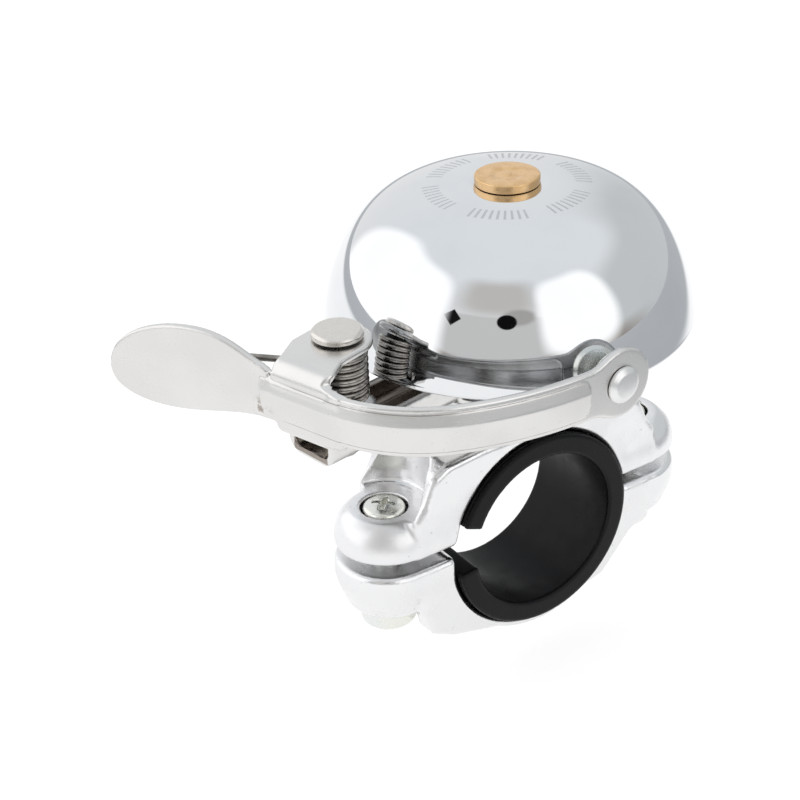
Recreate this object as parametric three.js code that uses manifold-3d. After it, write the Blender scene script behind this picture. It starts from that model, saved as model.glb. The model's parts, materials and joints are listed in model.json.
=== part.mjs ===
// Bicycle bell: a struck dome on a two-piece handlebar clamp, with a spring-loaded thumb lever.
// Millimetres, +Z up.  The origin is the centre of the handlebar bore; +X runs along the handlebar,
// and the two clamp screws stand at -Y and +Y.  The dome's axis is the Z axis.
import * as THREE from 'three';
import { mergeVertices } from 'three/addons/utils/BufferGeometryUtils.js';
import Module from 'manifold-3d';

const wasm = await Module();
wasm.setup();

// ---- driving dimensions -------------------------------------------------------------------
const GAP = 0.3;                    // clearance wherever one piece rests on or passes through another

const BAR_RADIUS = 12.7;            // 25.4 mm handlebar
const SHIM_OUTER_RADIUS = 15.9;     // the clamp's own bore is 31.8 mm
const SHIM_HALF_WIDTH = 8.9;
const SHIM_SPLIT_FROM = 158;        // degrees round the bore, measured from +Y towards +Z
const SHIM_SPLIT_TO = 188;

const CLAMP_HALF_WIDTH = 8;
const EAR_CENTRE_Y = 22.8;          // centre of the round ear ends
const SCREW_Y = 23.2;
const SPLIT_TOP_Z = 3.2;            // underside of the upper half
const SPLIT_BOTTOM_Z = 1;           // top of the lower half
const EAR_SEAT_Z = 9;               // floor of the pocket that holds each screw head
const POCKET_RADIUS = 6.2;
const SADDLE_Z = 17.8;
const PEDESTAL_RADIUS = 8;
const PEDESTAL_TOP_Z = 25.3;
const EAR_BOTTOM_Z = -7.6;

const SCREW_RADIUS = 2;
const SCREW_HEAD_RADIUS = 2.8;
const SCREW_HEAD_Z = [6.5, 8.9];
const SCREW_END_Z = -10.2;
const CAP_NUT_RADIUS = 4.5;
const CAP_NUT_Z = [-11.9, EAR_BOTTOM_Z - GAP];

const BOLT_RADIUS = 2.5;
const BOLT_HEAD_RADIUS = 3.9;
const BOLT_HEAD_Z = [16.6, 19.2];

const SHEET = 1.1;                  // thickness of the lever's and the base's steel sheet
const BASE_DISC_RADIUS = 15;
const BASE_Z = PEDESTAL_TOP_Z + GAP;
const PIVOT = new THREE.Vector2(5.3, -32.5);
const ARM_ANGLE = Math.atan2(PIVOT.y, PIVOT.x);
const ARM_WIDTH = 9;
const ARM_PAST_PIVOT = 6;
const FLANGE_TOP_Z = 30.2;

const DOME_RADIUS = 27.05;
const DOME_RIM_Z = 33.7;
const DOME_TOP_Z = 54.1;
const DOME_WALL = 1.5;
const DOME_SIDE_POWER = 4.2;        // superellipse powers: a flat crown and a full round shoulder
const DOME_RISE_POWER = 1.6;
const DOME_NUT_RADIUS = 4.7;
const DOME_NUT_HEIGHT = 1;

const LEVER_HEADING = 17;           // degrees: the straight part of the lever, as seen from above
const WALL_FACE = -10.25;           // outer face of the lever's wall, inward from the pivot
const BAND_MID_Z = 36.6;
const BAND_HEIGHT = 7;
const RIB_HALF_HEIGHT = 2.75;
const RIB_RISE = 0.45;
const BAND_START = -5.2;            // along the straight part, from the pivot
const BAND_STRAIGHT_END = 7;
const BEND_RADIUS = 20;
const BEND_HEADING = 67.5;
const SWEEP_RADIUS = 46;
const SWEEP_HEADING = 93;
const EYE_RADIUS = 5;
const EYE_OFFSET = 4.2;             // from the end of the ribbed band to the centre of the eye
const TOP_TAB_Z = 42.1;             // upper face of the top tab
const BOTTOM_TAB_Z = 30.8;          // lower face of the bottom tab
const TAB_RADIUS = 4.7;
const TOP_TAB_BEND = 2.6;
const BOTTOM_TAB_BEND = 2.2;
const PADDLE_HEADING = -150;
const PADDLE_LENGTH = 24.1;

const PIN_RADIUS = 1.5;
const PIN_HEAD_RADIUS = 3.6;
const PIN_HEAD_HEIGHT = 1.1;
const BUSH_RADIUS = 2.5;
const COIL_RADIUS = 3.5;            // to the middle of the wire
const WIRE_RADIUS = 0.52;
const COIL_TURNS = 7;

const STRIKER_RADIUS = 3.8;
const STRIKER_THICKNESS = 1.4;
const STRIKER_HEAD_RADIUS = 2.65;

// ---- materials ------------------------------------------------------------------------------
const finish = (color, roughness, metalness) => ({ color, roughness, metalness });
const CHROME = finish(0xdfe3e8, 0.05, 1);
const BRASS = finish(0xc79a4b, 0.25, 1);
const STAINLESS = finish(0xc6c3bf, 0.32, 1);
const NICKEL = finish(0xb9b2aa, 0.28, 1);
const SPRING_STEEL = finish(0x6f6a65, 0.3, 1);
const CAST_ALUMINIUM = finish(0xd9dadb, 0.2, 1);
const ZINC = finish(0xc9cbbb, 0.3, 1);
const BLACK_PLASTIC = finish(0x1b1c1e, 0.5, 0);
const FIBRE = finish(0x3a3028, 0.8, 0);

// ---- building blocks ------------------------------------------------------------------------
const radians = THREE.MathUtils.degToRad;

function solidOf(geometry) {
  const bare = geometry.index ? geometry.toNonIndexed() : geometry.clone();
  bare.deleteAttribute('normal');
  bare.deleteAttribute('uv');
  const merged = mergeVertices(bare, 1e-4);
  const vertProperties = new Float32Array(merged.attributes.position.array);
  const triVerts = new Uint32Array(merged.index.array);
  return new wasm.Manifold(new wasm.Mesh({ numProp: 3, vertProperties, triVerts }));
}

function geometryOf(solid) {
  const mesh = solid.getMesh();
  const geometry = new THREE.BufferGeometry();
  geometry.setAttribute('position', new THREE.BufferAttribute(new Float32Array(mesh.vertProperties), 3));
  geometry.setIndex(new THREE.BufferAttribute(new Uint32Array(mesh.triVerts), 1));
  geometry.computeVertexNormals();
  return geometry;
}

function join(first, ...others) {
  return geometryOf(others.reduce((sum, other) => sum.add(solidOf(other)), solidOf(first)));
}

function cut(first, ...others) {
  return geometryOf(others.reduce((rest, other) => rest.subtract(solidOf(other)), solidOf(first)));
}

function common(first, second) {
  return geometryOf(solidOf(first).intersect(solidOf(second)));
}

// A round post along Z.
function post(radius, z0, z1, x = 0, y = 0, sides = 28) {
  const geometry = new THREE.CylinderGeometry(radius, radius, z1 - z0, sides);
  return geometry.rotateX(Math.PI / 2).translate(x, y, (z0 + z1) / 2);
}

// A ring along Z, turned from its closed profile.
function ring(inner, outer, z0, z1, x = 0, y = 0, sides = 28) {
  const profile = [[inner, z0], [outer, z0], [outer, z1], [inner, z1], [inner, z0]];
  return turned(profile, sides).translate(x, y, 0);
}

// A body turned about Z from [radius, z] points, listed anticlockwise.
function turned(profile, sides = 28) {
  const points = profile.map(([r, z]) => new THREE.Vector2(r, z));
  return new THREE.LatheGeometry(points, sides).rotateX(Math.PI / 2);
}

function block(x0, x1, y0, y1, z0, z1) {
  const geometry = new THREE.BoxGeometry(x1 - x0, y1 - y0, z1 - z0);
  return geometry.translate((x0 + x1) / 2, (y0 + y1) / 2, (z0 + z1) / 2);
}

// A plan outline raised from z0 to z1.
function raised(shape, z0, z1, curveSegments = 16) {
  const options = { depth: z1 - z0, bevelEnabled: false, curveSegments };
  return new THREE.ExtrudeGeometry(shape, options).translate(0, 0, z0);
}

// An outline drawn in Y and Z, carried along X from x0 to x1.
function alongX(shape, x0, x1, curveSegments = 24) {
  const geometry = raised(shape, x0, x1, curveSegments);
  const toYZ = new THREE.Matrix4().makeBasis(
    new THREE.Vector3(0, 1, 0), new THREE.Vector3(0, 0, 1), new THREE.Vector3(1, 0, 0));
  return geometry.applyMatrix4(toYZ);
}

function outline(points) {
  return new THREE.Shape(points.map(([x, y]) => new THREE.Vector2(x, y)));
}

// A flat round bar end: a strip with two semicircular ends, lying along Y.
function stadium(halfWidth, centreY) {
  const shape = new THREE.Shape();
  shape.moveTo(halfWidth, -centreY);
  shape.lineTo(halfWidth, centreY);
  shape.absarc(0, centreY, halfWidth, 0, Math.PI);
  shape.lineTo(-halfWidth, -centreY);
  shape.absarc(0, -centreY, halfWidth, Math.PI, 2 * Math.PI);
  return shape;
}

const group = new THREE.Group();

function addPart(name, geometry, { color, roughness, metalness }, parent = group) {
  const material = new THREE.MeshStandardMaterial({ color, roughness, metalness });
  const mesh = new THREE.Mesh(geometry, material);
  mesh.name = name;
  parent.add(mesh);
}

// ---- handlebar clamp ------------------------------------------------------------------------
function clampUpper() {
  const right = [[31, SPLIT_TOP_Z], [30.8, 6], [29.4, 8.2], [27, EAR_SEAT_Z + 0.1], [22.8, 9.6],
    [21.2, 11.6], [19.6, 15.6], [17.4, 16.9], [11.5, SADDLE_Z]];
  const left = right.map(([y, z]) => [-y, z]).reverse();
  const body = alongX(outline([...right, ...left]), -CLAMP_HALF_WIDTH, CLAMP_HALF_WIDTH);
  const rounded = common(body, raised(stadium(CLAMP_HALF_WIDTH, EAR_CENTRE_Y), 0, 30));
  const whole = join(rounded, post(PEDESTAL_RADIUS - 0.2, SADDLE_Z - 1, PEDESTAL_TOP_Z, 0, 0, 36));
  const bore = post(SHIM_OUTER_RADIUS + GAP, -20, 20, 0, 0, 72).rotateY(Math.PI / 2);
  const cuts = [bore];
  for (const y of [-SCREW_Y, SCREW_Y]) {
    cuts.push(post(POCKET_RADIUS, EAR_SEAT_Z, 30, 0, y, 32));
    cuts.push(post(3.7, SCREW_HEAD_Z[0] - 1.3, 12, 0, y));
    cuts.push(post(SCREW_RADIUS + GAP, 0, 8, 0, y));
  }
  cuts.push(post(BOLT_HEAD_RADIUS + GAP, 14, BOLT_HEAD_Z[1] + GAP));
  cuts.push(post(BOLT_RADIUS + GAP, 18, 27));
  return cut(whole, ...cuts);
}

function clampLower() {
  const shape = new THREE.Shape();
  shape.moveTo(-31.4, SPLIT_BOTTOM_Z);
  shape.lineTo(-30.9, -3);
  shape.lineTo(-29.4, EAR_BOTTOM_Z);
  shape.lineTo(-21.4, EAR_BOTTOM_Z);
  shape.lineTo(-20.4, -11.3);
  shape.lineTo(-16.6, -13.2);
  shape.absarc(0, 0, 17.6, radians(-118), radians(-58));
  shape.lineTo(12.7, -14.2);
  shape.lineTo(18.8, EAR_BOTTOM_Z);
  shape.lineTo(29.4, EAR_BOTTOM_Z);
  shape.lineTo(30.9, -3);
  shape.lineTo(31.4, SPLIT_BOTTOM_Z);
  const body = alongX(shape, -CLAMP_HALF_WIDTH, CLAMP_HALF_WIDTH, 14);
  const rounded = common(body, raised(stadium(CLAMP_HALF_WIDTH, EAR_CENTRE_Y), -20, 5));
  const cuts = [post(SHIM_OUTER_RADIUS + GAP, -20, 20, 0, 0, 72).rotateY(Math.PI / 2)];
  for (const y of [-SCREW_Y, SCREW_Y]) {
    cuts.push(post(SCREW_RADIUS + GAP, -15, 5, 0, y));
    cuts.push(post(CAP_NUT_RADIUS + GAP, -20, EAR_BOTTOM_Z, 0, y));
  }
  return cut(rounded, ...cuts);
}

function shim() {
  const shape = new THREE.Shape();
  const from = radians(SHIM_SPLIT_TO);
  const to = radians(SHIM_SPLIT_FROM + 360);
  shape.absarc(0, 0, SHIM_OUTER_RADIUS, from, to, false);
  shape.absarc(0, 0, BAR_RADIUS, to, from, true);
  return alongX(shape, -SHIM_HALF_WIDTH, SHIM_HALF_WIDTH, 40);
}

function clampScrew(y) {
  const [under, top] = SCREW_HEAD_Z;
  const crown = turned([[0, under], [SCREW_HEAD_RADIUS, under], [SCREW_HEAD_RADIUS, top - 0.7],
    [SCREW_HEAD_RADIUS - 0.7, top], [0, top]], 24);
  const shank = post(SCREW_RADIUS, SCREW_END_Z, under + 0.5, 0, 0, 20);
  const slots = [block(-1.7, 1.7, -0.35, 0.35, top - 0.9, top + 1),
    block(-0.35, 0.35, -1.7, 1.7, top - 0.9, top + 1)];
  return cut(join(crown, shank), ...slots).translate(0, y, 0);
}

function springWasher(y) {
  const body = ring(SCREW_RADIUS + GAP, 3.1, SCREW_HEAD_Z[0] - 1, SCREW_HEAD_Z[0] - GAP);
  return cut(body, block(0, 4, -0.25, 0.25, 4, 8)).translate(0, y, 0);
}

function capNut(y) {
  const [bottom, top] = CAP_NUT_Z;
  const body = turned([[0, bottom], [2.6, bottom + 0.2], [3.9, bottom + 1], [CAP_NUT_RADIUS, bottom + 2.2],
    [CAP_NUT_RADIUS, top], [0, top]]);
  return cut(body, post(SCREW_RADIUS + GAP, SCREW_END_Z - GAP, 0, 0, 0, 20)).translate(0, y, 0);
}

addPart('clamp_upper', clampUpper(), CAST_ALUMINIUM);
addPart('clamp_lower', clampLower(), CAST_ALUMINIUM);
addPart('handlebar_shim', shim(), BLACK_PLASTIC);
for (const [side, y] of [['near', -SCREW_Y], ['far', SCREW_Y]]) {
  addPart(`clamp_screw_${side}`, clampScrew(y), ZINC);
  addPart(`screw_spring_washer_${side}`, springWasher(y), ZINC);
  addPart(`clamp_cap_nut_${side}`, capNut(y), ZINC);
}

// ---- base bracket and centre bolt -----------------------------------------------------------
// The bracket is a disc with a U-shaped arm that reaches out to the lever's pivot.
function baseBracket() {
  const reach = PIVOT.length() + ARM_PAST_PIVOT;
  const half = ARM_WIDTH / 2;
  const arm = join(block(0, reach, -half, half, BASE_Z, BASE_Z + SHEET),
    block(14, reach, half - SHEET, half, BASE_Z, FLANGE_TOP_Z),
    block(14, reach, -half, SHEET - half, BASE_Z, FLANGE_TOP_Z));
  const disc = post(BASE_DISC_RADIUS, BASE_Z, BASE_Z + SHEET, 0, 0, 48);
  const cuts = [post(BOLT_RADIUS + GAP, 20, 32), post(PIN_RADIUS + GAP, 20, 32, PIVOT.length(), 0, 20)];
  return cut(join(arm, disc), ...cuts).rotateZ(ARM_ANGLE);
}

function centreBolt() {
  const [bottom, top] = BOLT_HEAD_Z;
  const head = post(BOLT_HEAD_RADIUS, bottom, top);
  const shank = post(BOLT_RADIUS, top - 0.5, DOME_TOP_Z + GAP + 0.75, 0, 0, 24);
  return cut(join(head, shank), block(-5, 5, -0.5, 0.5, bottom - 1, bottom + 1.1));
}

const washerZ = BASE_Z + SHEET + GAP;
const nutZ = washerZ + 1 + GAP;
const standoffZ = nutZ + 4 + GAP;
const domeWasherZ = DOME_TOP_Z - DOME_WALL - GAP - 0.9;
const hexNut = cut(post(4.6, nutZ, nutZ + 4, 0, 0, 6), post(BOLT_RADIUS + GAP, 20, 40));
addPart('base_bracket', baseBracket(), STAINLESS);
addPart('centre_bolt', centreBolt(), ZINC);
addPart('base_washer', ring(BOLT_RADIUS + GAP, 5.5, washerZ, washerZ + 1), ZINC);
addPart('base_hex_nut', hexNut, ZINC);
addPart('dome_standoff', ring(BOLT_RADIUS + GAP, 4.2, standoffZ, domeWasherZ - GAP), ZINC);
addPart('dome_fibre_washer', ring(BOLT_RADIUS + GAP, 6, domeWasherZ, domeWasherZ + 0.9), FIBRE);

// ---- dome and its nut -----------------------------------------------------------------------
// Points down one side of a superellipse dome, from the bolt hole to the rim.
function domeCurve(radius, height, steps) {
  const hole = BOLT_RADIUS + GAP;
  const points = [[hole, DOME_RIM_Z + height]];
  for (let i = steps - 1; i >= 0; i -= 1) {
    const t = (i / steps) * (Math.PI / 2);
    const r = radius * Math.cos(t) ** (2 / DOME_SIDE_POWER);
    const z = DOME_RIM_Z + height * Math.sin(t) ** (2 / DOME_RISE_POWER);
    if (r > hole + 0.5) points.push([r, z]);
  }
  return points;
}

function dome() {
  const height = DOME_TOP_Z - DOME_RIM_Z;
  const outer = domeCurve(DOME_RADIUS, height, 14);
  const inner = domeCurve(DOME_RADIUS - DOME_WALL, height - DOME_WALL, 10);
  const profile = [...inner, ...outer.reverse(), inner[0]];
  return turned(profile, 52);
}

function domeNut() {
  const z0 = DOME_TOP_Z + GAP;
  const z1 = z0 + DOME_NUT_HEIGHT;
  const profile = [[BOLT_RADIUS + GAP, z0], [DOME_NUT_RADIUS, z0], [DOME_NUT_RADIUS, z1 - 0.4],
    [DOME_NUT_RADIUS - 0.4, z1], [3.3, z1], [BOLT_RADIUS + GAP, z1 - 0.4], [BOLT_RADIUS + GAP, z0]];
  return turned(profile, 40);
}

addPart('dome', dome(), CHROME);
addPart('dome_nut', domeNut(), BRASS);

// ---- thumb lever ----------------------------------------------------------------------------
// The lever's own group stands on the pivot, with its x axis along the straight part of the lever
// and its y axis pointing inward, at the bell.
const lever = new THREE.Group();
lever.position.set(PIVOT.x, PIVOT.y, 0);
lever.rotation.z = radians(LEVER_HEADING);
group.add(lever);

// The line of the band's outer face: a straight, a bend, then a long sweep round the dome.
class BandLine extends THREE.Curve {
  getPoint(t, target = new THREE.Vector3()) {
    const straight = BAND_STRAIGHT_END - BAND_START;
    const bend = BEND_RADIUS * radians(BEND_HEADING - LEVER_HEADING);
    const sweep = SWEEP_RADIUS * radians(SWEEP_HEADING - BEND_HEADING);
    const s = t * (straight + bend + sweep);
    if (s < straight) return target.set(BAND_START + s, WALL_FACE, BAND_MID_Z);
    const turn = Math.min(s - straight, bend) / BEND_RADIUS;
    const x = BAND_STRAIGHT_END + BEND_RADIUS * Math.sin(turn);
    const y = WALL_FACE + BEND_RADIUS * (1 - Math.cos(turn));
    const more = turn + Math.max(0, s - straight - bend) / SWEEP_RADIUS;
    const dx = SWEEP_RADIUS * (Math.sin(more) - Math.sin(turn));
    const dy = SWEEP_RADIUS * (Math.cos(turn) - Math.cos(more));
    return target.set(x + dx, y + dy, BAND_MID_Z);
  }
}

const bandLine = new BandLine();
const eyeTurn = radians(SWEEP_HEADING - LEVER_HEADING);
const eyeCentre = bandLine.getPoint(1).add(
  new THREE.Vector3(Math.cos(eyeTurn), Math.sin(eyeTurn), 0).multiplyScalar(EYE_OFFSET));

// The band's section, listed as [down from the middle, inward]; the rib is embossed outward.
function band() {
  const half = BAND_HEIGHT / 2;
  const rib = RIB_HALF_HEIGHT;
  const section = outline([[-half, 0], [-rib, 0], [0.4 - rib, -RIB_RISE], [rib - 0.4, -RIB_RISE], [rib, 0],
    [half, 0], [half, SHEET], [rib, SHEET], [rib - 0.4, SHEET - RIB_RISE], [0.4 - rib, SHEET - RIB_RISE],
    [-rib, SHEET], [-half, SHEET]]);
  return new THREE.ExtrudeGeometry(section, { steps: 56, extrudePath: bandLine });
}

// The flat round end that carries the striker; its face looks outward.
function eye(radius, from, to, sides = 36) {
  const disc = post(radius, from, to, 0, 0, sides).rotateX(-Math.PI / 2);
  return disc.rotateZ(eyeTurn).translate(eyeCentre.x, eyeCentre.y, BAND_MID_Z);
}

function paddle() {
  const shape = new THREE.Shape();
  shape.moveTo(-0.4, 33.1);
  shape.lineTo(-0.4, 41);
  shape.bezierCurveTo(3, 42.2, 5, 44.4, 10, 44.4);
  shape.bezierCurveTo(17, 44.4, PADDLE_LENGTH, 41, PADDLE_LENGTH, 35.9);
  shape.bezierCurveTo(PADDLE_LENGTH, 32, 18, 31.2, 14, 31.4);
  shape.bezierCurveTo(9, 31.6, 5, 33, -0.4, 33.1);
  const plate = raised(shape, 0, SHEET, 14);
  const turn = radians(PADDLE_HEADING - LEVER_HEADING);
  const along = new THREE.Vector3(Math.cos(turn), Math.sin(turn), 0);
  const up = new THREE.Vector3(0, 0, 1);
  const place = new THREE.Matrix4().makeBasis(along, up, along.clone().cross(up));
  return plate.applyMatrix4(place).translate(BAND_START + 0.2, WALL_FACE, 0);
}

// A tab folded inward from the wall: a folded strip trimmed to the tab's plan outline.
// side is +1 for a tab at the top and -1 for one at the bottom.
function tab(face, bend, side, rootLeft, rootRight) {
  const centreZ = face - side * bend;
  const strip = new THREE.Shape();
  const quarter = (radius, forward) => {
    for (let i = 0; i <= 8; i += 1) {
      const angle = ((forward ? i : 8 - i) / 8) * (Math.PI / 2);
      strip.lineTo(WALL_FACE + bend - radius * Math.cos(angle), centreZ + side * radius * Math.sin(angle));
    }
  };
  strip.moveTo(WALL_FACE, BAND_MID_Z);
  quarter(bend, true);
  strip.lineTo(TAB_RADIUS + 1, face);
  strip.lineTo(TAB_RADIUS + 1, face - side * SHEET);
  quarter(bend - SHEET, false);
  strip.lineTo(WALL_FACE + SHEET, BAND_MID_Z);
  const folded = alongX(strip, -9, 12);
  const plan = new THREE.Shape();
  plan.moveTo(rootLeft, WALL_FACE - 1);
  plan.lineTo(rootRight, WALL_FACE - 1);
  plan.lineTo(rootRight - 0.6, WALL_FACE + 1.5);
  plan.lineTo(TAB_RADIUS + 0.2, -5);
  plan.absarc(0, 0, TAB_RADIUS, 0, Math.PI);
  return common(folded, raised(plan, 20, 50, 20));
}

function leverBody() {
  const body = join(band(), eye(EYE_RADIUS, 0, SHEET), paddle(),
    tab(TOP_TAB_Z, TOP_TAB_BEND, 1, -3.2, 7), tab(BOTTOM_TAB_Z, BOTTOM_TAB_BEND, -1, -2.7, 6.8));
  return cut(body, post(PIN_RADIUS + GAP, 25, 50, 0, 0, 20), eye(1.5 + GAP, -2, 3, 20));
}

addPart('lever', leverBody(), STAINLESS, lever);

// ---- striker --------------------------------------------------------------------------------
// The striker is a thick disc on the inner face of the eye; its rivet has a domed outer head.
function strikerRivet() {
  const outerFace = -GAP;
  const profile = [[0, outerFace], [STRIKER_HEAD_RADIUS, outerFace], [STRIKER_HEAD_RADIUS - 0.2, outerFace - 0.6],
    [1.6, outerFace - 1.2], [0, outerFace - 1.35]].reverse();
  const head = turned(profile, 28).rotateX(-Math.PI / 2);
  const placed = head.rotateZ(eyeTurn).translate(eyeCentre.x, eyeCentre.y, BAND_MID_Z);
  return join(placed, eye(1.5, outerFace - 0.3, SHEET + GAP + 0.7, 20));
}

function strikerDisc() {
  const body = eye(STRIKER_RADIUS, SHEET + GAP, SHEET + GAP + STRIKER_THICKNESS, 32);
  return cut(body, eye(1.5 + GAP, -2, SHEET + GAP + 0.7 + GAP, 20));
}

addPart('striker_rivet', strikerRivet(), ZINC, lever);
addPart('striker_disc', strikerDisc(), ZINC, lever);

// ---- pivot and return spring ----------------------------------------------------------------
function pivotRivet() {
  const head = post(PIN_HEAD_RADIUS, TOP_TAB_Z + GAP, TOP_TAB_Z + GAP + PIN_HEAD_HEIGHT, 0, 0, 40);
  const shank = post(PIN_RADIUS, BASE_Z - 1.3, TOP_TAB_Z + GAP + 0.5, 0, 0, 24);
  const tail = turned([[0, BASE_Z - 1.3], [1.9, BASE_Z - 1.1], [2.2, BASE_Z - GAP], [0, BASE_Z - GAP]], 24);
  return join(head, shank, tail).translate(PIVOT.x, PIVOT.y, 0);
}

const armTop = BASE_Z + SHEET;
const springFloor = BOTTOM_TAB_Z + SHEET;
const springCeiling = TOP_TAB_Z - SHEET;
const atPivot = [PIVOT.x, PIVOT.y];
addPart('pivot_rivet', pivotRivet(), NICKEL);
addPart('pivot_spacer', ring(PIN_RADIUS + GAP, 3.1, armTop + GAP, BOTTOM_TAB_Z - GAP, ...atPivot, 24), ZINC);
addPart('spring_bush', ring(PIN_RADIUS + GAP, BUSH_RADIUS, springFloor + GAP, springCeiling - GAP,
  ...atPivot, 24), BLACK_PLASTIC);

// The spring's line: a leg that ends on the lever's inner face, the coil, and a leg to the base arm.
class SpringLine extends THREE.Curve {
  constructor() {
    super();
    const low = springFloor + GAP + WIRE_RADIUS + 0.1;
    const high = springCeiling - GAP - WIRE_RADIUS - 0.1;
    const startAngle = radians(-64 + LEVER_HEADING);
    this.points = [];
    const leave = (angle, z) => new THREE.Vector3(
      COIL_RADIUS * Math.cos(angle), COIL_RADIUS * Math.sin(angle), z);
    const tangent = (angle) => new THREE.Vector3(Math.sin(angle), -Math.cos(angle), 0);
    for (const length of [14.4, 10, 5, 1.5]) {
      this.points.push(leave(startAngle, high).addScaledVector(tangent(startAngle), length));
    }
    const steps = COIL_TURNS * 12;
    for (let i = 0; i <= steps; i += 1) {
      const angle = startAngle + (i / 12) * 2 * Math.PI;
      this.points.push(leave(angle, high + (low - high) * (i / steps)));
    }
    const endAngle = startAngle + COIL_TURNS * 2 * Math.PI;
    for (const length of [1.5, 3.5]) {
      this.points.push(leave(endAngle, low).addScaledVector(tangent(endAngle), -length));
    }
    this.line = new THREE.CatmullRomCurve3(this.points, false, 'centripetal');
  }

  getPoint(t, target = new THREE.Vector3()) {
    return this.line.getPoint(t, target);
  }
}

function returnSpring() {
  const section = new THREE.Shape();
  section.absarc(0, 0, WIRE_RADIUS, 0, 2 * Math.PI);
  const path = new SpringLine();
  const options = { steps: path.points.length + 8, extrudePath: path, curveSegments: 4 };
  return new THREE.ExtrudeGeometry(section, options).translate(PIVOT.x, PIVOT.y, 0);
}

addPart('return_spring', returnSpring(), SPRING_STEEL);

export default group;
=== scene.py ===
"""Bicycle bell: detailed pieces, materials and a plain studio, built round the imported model.

Lengths are in millimetres until a mesh is made, and every place is in the model's own frame:
+X along the handlebar, +Z up the dome's axis, origin at the centre of the handlebar bore.
"""

import json
import math

import bpy
import numpy as np
from mathutils import Matrix, Vector


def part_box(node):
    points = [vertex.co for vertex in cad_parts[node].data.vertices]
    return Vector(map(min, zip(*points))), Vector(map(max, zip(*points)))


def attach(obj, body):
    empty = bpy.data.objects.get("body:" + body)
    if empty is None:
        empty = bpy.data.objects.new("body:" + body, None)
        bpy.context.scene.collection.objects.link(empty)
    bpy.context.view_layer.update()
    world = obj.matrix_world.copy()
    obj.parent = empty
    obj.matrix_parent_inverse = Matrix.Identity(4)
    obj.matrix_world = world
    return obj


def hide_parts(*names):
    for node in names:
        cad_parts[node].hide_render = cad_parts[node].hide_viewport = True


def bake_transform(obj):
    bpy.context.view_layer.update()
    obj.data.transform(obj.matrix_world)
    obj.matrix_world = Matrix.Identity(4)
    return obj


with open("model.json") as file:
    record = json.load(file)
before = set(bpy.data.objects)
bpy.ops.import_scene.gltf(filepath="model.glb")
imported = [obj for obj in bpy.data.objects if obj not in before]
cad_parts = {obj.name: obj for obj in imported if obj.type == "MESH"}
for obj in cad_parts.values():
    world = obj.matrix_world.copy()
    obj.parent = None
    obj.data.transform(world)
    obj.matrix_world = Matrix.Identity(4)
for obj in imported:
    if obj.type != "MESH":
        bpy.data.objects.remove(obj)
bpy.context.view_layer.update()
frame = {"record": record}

MM = 0.001


def cad(node):
    """Lowest and highest corners of a CAD node, in millimetres."""
    low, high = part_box(node)
    return np.array(low) / MM, np.array(high) / MM


# ---- sizes ----------------------------------------------------------------------------------
SHEET = 1.1
GAP = 0.3
clamp_low, clamp_high = cad("clamp_upper")
shim_high = cad("handlebar_shim")[1]
dome_low, dome_high = cad("dome")
pin_low, pin_high = cad("pivot_rivet")
screw_low, screw_high = cad("clamp_screw_far")
cap_low, cap_high = cad("clamp_cap_nut_far")
EYE_Y = sum(corner[1] for corner in cad("striker_rivet")) / 2
PIVOT = (pin_low + pin_high)[:2] / 2
SCREW_Y = (screw_low[1] + screw_high[1]) / 2
SHIM_RADIUS = shim_high[2]
BAR_RADIUS = SHIM_RADIUS - 3.2       # the wall of the shim
CLAMP_HALF = clamp_high[0]
RIM_Z = dome_low[2]
CROWN_Z = dome_high[2]
DOME_RADIUS = dome_high[0]
DOME_WALL = 1.5
BOLT_HOLE, PIN_HOLE, SCREW_HOLE = 2.8, 1.8, 2.3     # radii, each 0.3 over its shank
CELL = 0.3                          # grid on which the larger pieces are meshed

# ---- fields ---------------------------------------------------------------------------------
# A field is a function of x, y and z that is negative inside a solid and grows like a distance.


def both(a, b, r=0.0):
    """What two solids share, its new edge rounded to radius r."""
    a, b = a + r, b + r
    return np.minimum(np.maximum(a, b), 0) + np.hypot(np.maximum(a, 0), np.maximum(b, 0)) - r


def merged(a, b, k):
    """Two solids joined with a fillet about k wide."""
    h = np.clip(0.5 + 0.5 * (b - a) / k, 0, 1)
    return b + (a - b) * h - k * h * (1 - h)


def carved(a, b, k):
    """The first solid less the second, with the edge softened."""
    return -merged(-a, b, k)


def between(value, low, high):
    return np.abs(value - (low + high) / 2) - (high - low) / 2


def smooth_step(value, low, high):
    t = np.clip((value - low) / (high - low), 0, 1)
    return t * t * (3 - 2 * t)


def filleted(points, sides=8):
    """A closed outline from [x, y, corner radius] points."""
    out = []
    count = len(points)
    for i, (x, y, radius) in enumerate(points):
        here = np.array([x, y])
        back = np.array(points[i - 1][:2]) - here
        ahead = np.array(points[(i + 1) % count][:2]) - here
        length_back, length_ahead = np.linalg.norm(back), np.linalg.norm(ahead)
        back, ahead = back / length_back, ahead / length_ahead
        half = math.acos(float(np.clip(back @ ahead, -1, 1))) / 2
        if radius <= 0 or half > math.pi / 2 - 0.01:
            out.append(here)
            continue
        reach = min(radius / math.tan(half), 0.49 * length_back, 0.49 * length_ahead)
        for k in range(sides + 1):
            t = k / sides
            a, b = here + back * reach, here + ahead * reach
            out.append((1 - t) ** 2 * a + 2 * t * (1 - t) * here + t * t * b)
    return np.array(out)


def bezier(a, b, c, d, steps=14):
    t = np.linspace(0, 1, steps + 1)[:-1, None]
    a, b, c, d = (np.array(p, float) for p in (a, b, c, d))
    return (1 - t) ** 3 * a + 3 * t * (1 - t) ** 2 * b + 3 * t * t * (1 - t) * c + t ** 3 * d


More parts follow.
